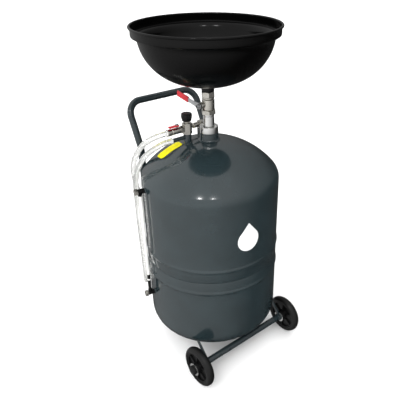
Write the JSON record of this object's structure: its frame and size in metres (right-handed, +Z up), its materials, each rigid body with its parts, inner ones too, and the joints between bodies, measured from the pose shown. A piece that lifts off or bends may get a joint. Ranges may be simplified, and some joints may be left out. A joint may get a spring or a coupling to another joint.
{
  "type": "wheeled oil drain pan",
  "caption": "Upright waste oil drain tank on wheels and casters, with a round catch bowl on a sliding riser, ball valve, sight gauge, hose and push handle.",
  "frame": {"origin": "on the floor, under the centre of the object without its hose", "axes": "+X along the wheel axle to the right, -Y towards the wheel side, +Y towards the handle, +Z up"},
  "size_m": [0.4382, 0.4659, 1.007],
  "materials": {
    "slate_paint": "glossy dark slate enamel",
    "black_paint": "glossy black enamel",
    "black_plastic": "moulded, satin",
    "black_rubber": "matt",
    "nickel": "nickel plated brass",
    "chrome": "polished",
    "zinc_steel": "zinc plated",
    "red_vinyl": "dipped vinyl",
    "clear_pvc": "clear ribbed tube",
    "gauge_white": "translucent white",
    "yellow_label": "blank adhesive film",
    "white_packing": "matt"
  },
  "bodies": {
    "chassis": {"tank_upper_shell": "slate_paint", "tank_lower_shell": "slate_paint", "tank_neck": "slate_paint", "gland_packing": "white_packing", "handle_tube": "slate_paint", "handle_bracket_left": "slate_paint", "handle_bracket_right": "slate_paint", "handle_bolt_left": "zinc_steel", "handle_bolt_right": "zinc_steel", "axle_strut_left": "slate_paint", "axle_strut_right": "slate_paint", "axle_tube": "slate_paint", "axle_rod": "zinc_steel", "caster_bar": "slate_paint", "wheel_inner_washer_left": "chrome", "wheel_inner_washer_right": "chrome", "wheel_outer_washer_left": "chrome", "wheel_outer_washer_right": "chrome", "axle_cap_left": "black_plastic", "axle_cap_right": "black_plastic", "outlet_block": "nickel", "outlet_valve_body": "nickel", "inlet_elbow": "nickel", "air_plug": "nickel", "gauge_top_fitting": "black_paint", "gauge_bottom_fitting": "black_paint", "gauge_top_nut": "nickel", "gauge_bottom_nut": "nickel", "gauge_tube": "gauge_white", "gauge_lower_sleeve": "black_plastic", "dome_label": "yellow_label", "outlet_hose": "clear_pvc", "outlet_boss": "slate_paint", "inlet_boss": "slate_paint"},
    "collar": {"gland_collar": "chrome"},
    "riser": {"riser_tube": "chrome"},
    "head": {"valve_lower_nut": "nickel", "valve_body": "nickel", "valve_upper_nut": "nickel", "valve_bonnet": "nickel", "bowl_nipple": "black_plastic", "catch_bowl": "black_paint", "bowl_drain_nut": "nickel"},
    "main_valve": {"valve_ball_stem": "zinc_steel", "valve_lever": "zinc_steel", "valve_lever_nut": "zinc_steel", "valve_lever_sleeve": "red_vinyl"},
    "wheel_left": {"wheel_tyre_left": "black_rubber", "wheel_hub_left": "black_plastic"},
    "wheel_right": {"wheel_tyre_right": "black_rubber", "wheel_hub_right": "black_plastic"},
    "caster_left": {"caster_fork_left": "zinc_steel", "caster_axle_left": "zinc_steel"},
    "caster_right": {"caster_fork_right": "zinc_steel", "caster_axle_right": "zinc_steel"},
    "caster_left_wheel": {"caster_wheel_left": "black_plastic"},
    "caster_right_wheel": {"caster_wheel_right": "black_plastic"},
    "relief": {"relief_knob": "black_plastic"},
    "outlet_tap": {"outlet_lever": "red_vinyl", "outlet_lever_stem": "zinc_steel"}
  },
  "joints": [
    {"name": "collar_turn", "type": "hinge", "parent": "chassis", "child": "collar", "pos_m": [0.0075, -0.011, 0.729], "axis": [0, 0, 1], "range_deg": [0, 180]},
    {"name": "riser_lift", "type": "slide", "parent": "chassis", "child": "riser", "axis": [0, 0, 1], "range_m": [0, 0.5]},
    {"name": "bowl_swivel", "type": "hinge", "parent": "riser", "child": "head", "pos_m": [0.0075, -0.011, 0.8], "axis": [0, 0, 1], "continuous": true},
    {"name": "main_valve_turn", "type": "hinge", "parent": "head", "child": "main_valve", "pos_m": [0.0075, -0.011, 0.8], "axis": [-1, 0, 0], "range_deg": [0, 90]},
    {"name": "wheel_left_spin", "type": "hinge", "parent": "chassis", "child": "wheel_left", "pos_m": [-0.1745, -0.1705, 0.0625], "axis": [1, 0, 0], "continuous": true},
    {"name": "wheel_right_spin", "type": "hinge", "parent": "chassis", "child": "wheel_right", "pos_m": [0.1895, -0.1705, 0.0625], "axis": [1, 0, 0], "continuous": true},
    {"name": "caster_left_swivel", "type": "hinge", "parent": "chassis", "child": "caster_left", "pos_m": [-0.0975, 0.104, 0.0655], "axis": [0, 0, 1], "continuous": true},
    {"name": "caster_right_swivel", "type": "hinge", "parent": "chassis", "child": "caster_right", "pos_m": [0.1125, 0.104, 0.0655], "axis": [0, 0, 1], "continuous": true},
    {"name": "caster_left_roll", "type": "hinge", "parent": "caster_left", "child": "caster_left_wheel", "pos_m": [-0.0975, 0.12, 0.025], "axis": [1, 0, 0], "continuous": true},
    {"name": "caster_right_roll", "type": "hinge", "parent": "caster_right", "child": "caster_right_wheel", "pos_m": [0.1125, 0.12, 0.025], "axis": [1, 0, 0], "continuous": true},
    {"name": "relief_turn", "type": "hinge", "parent": "chassis", "child": "relief", "pos_m": [-0.045, 0.019, 0.7668], "axis": [0, 0, 1], "range_deg": [0, 360]},
    {"name": "outlet_tap_turn", "type": "hinge", "parent": "chassis", "child": "outlet_tap", "pos_m": [-0.078, 0.019, 0.749], "axis": [0, 0, 1], "range_deg": [0, 90]}
  ]
}
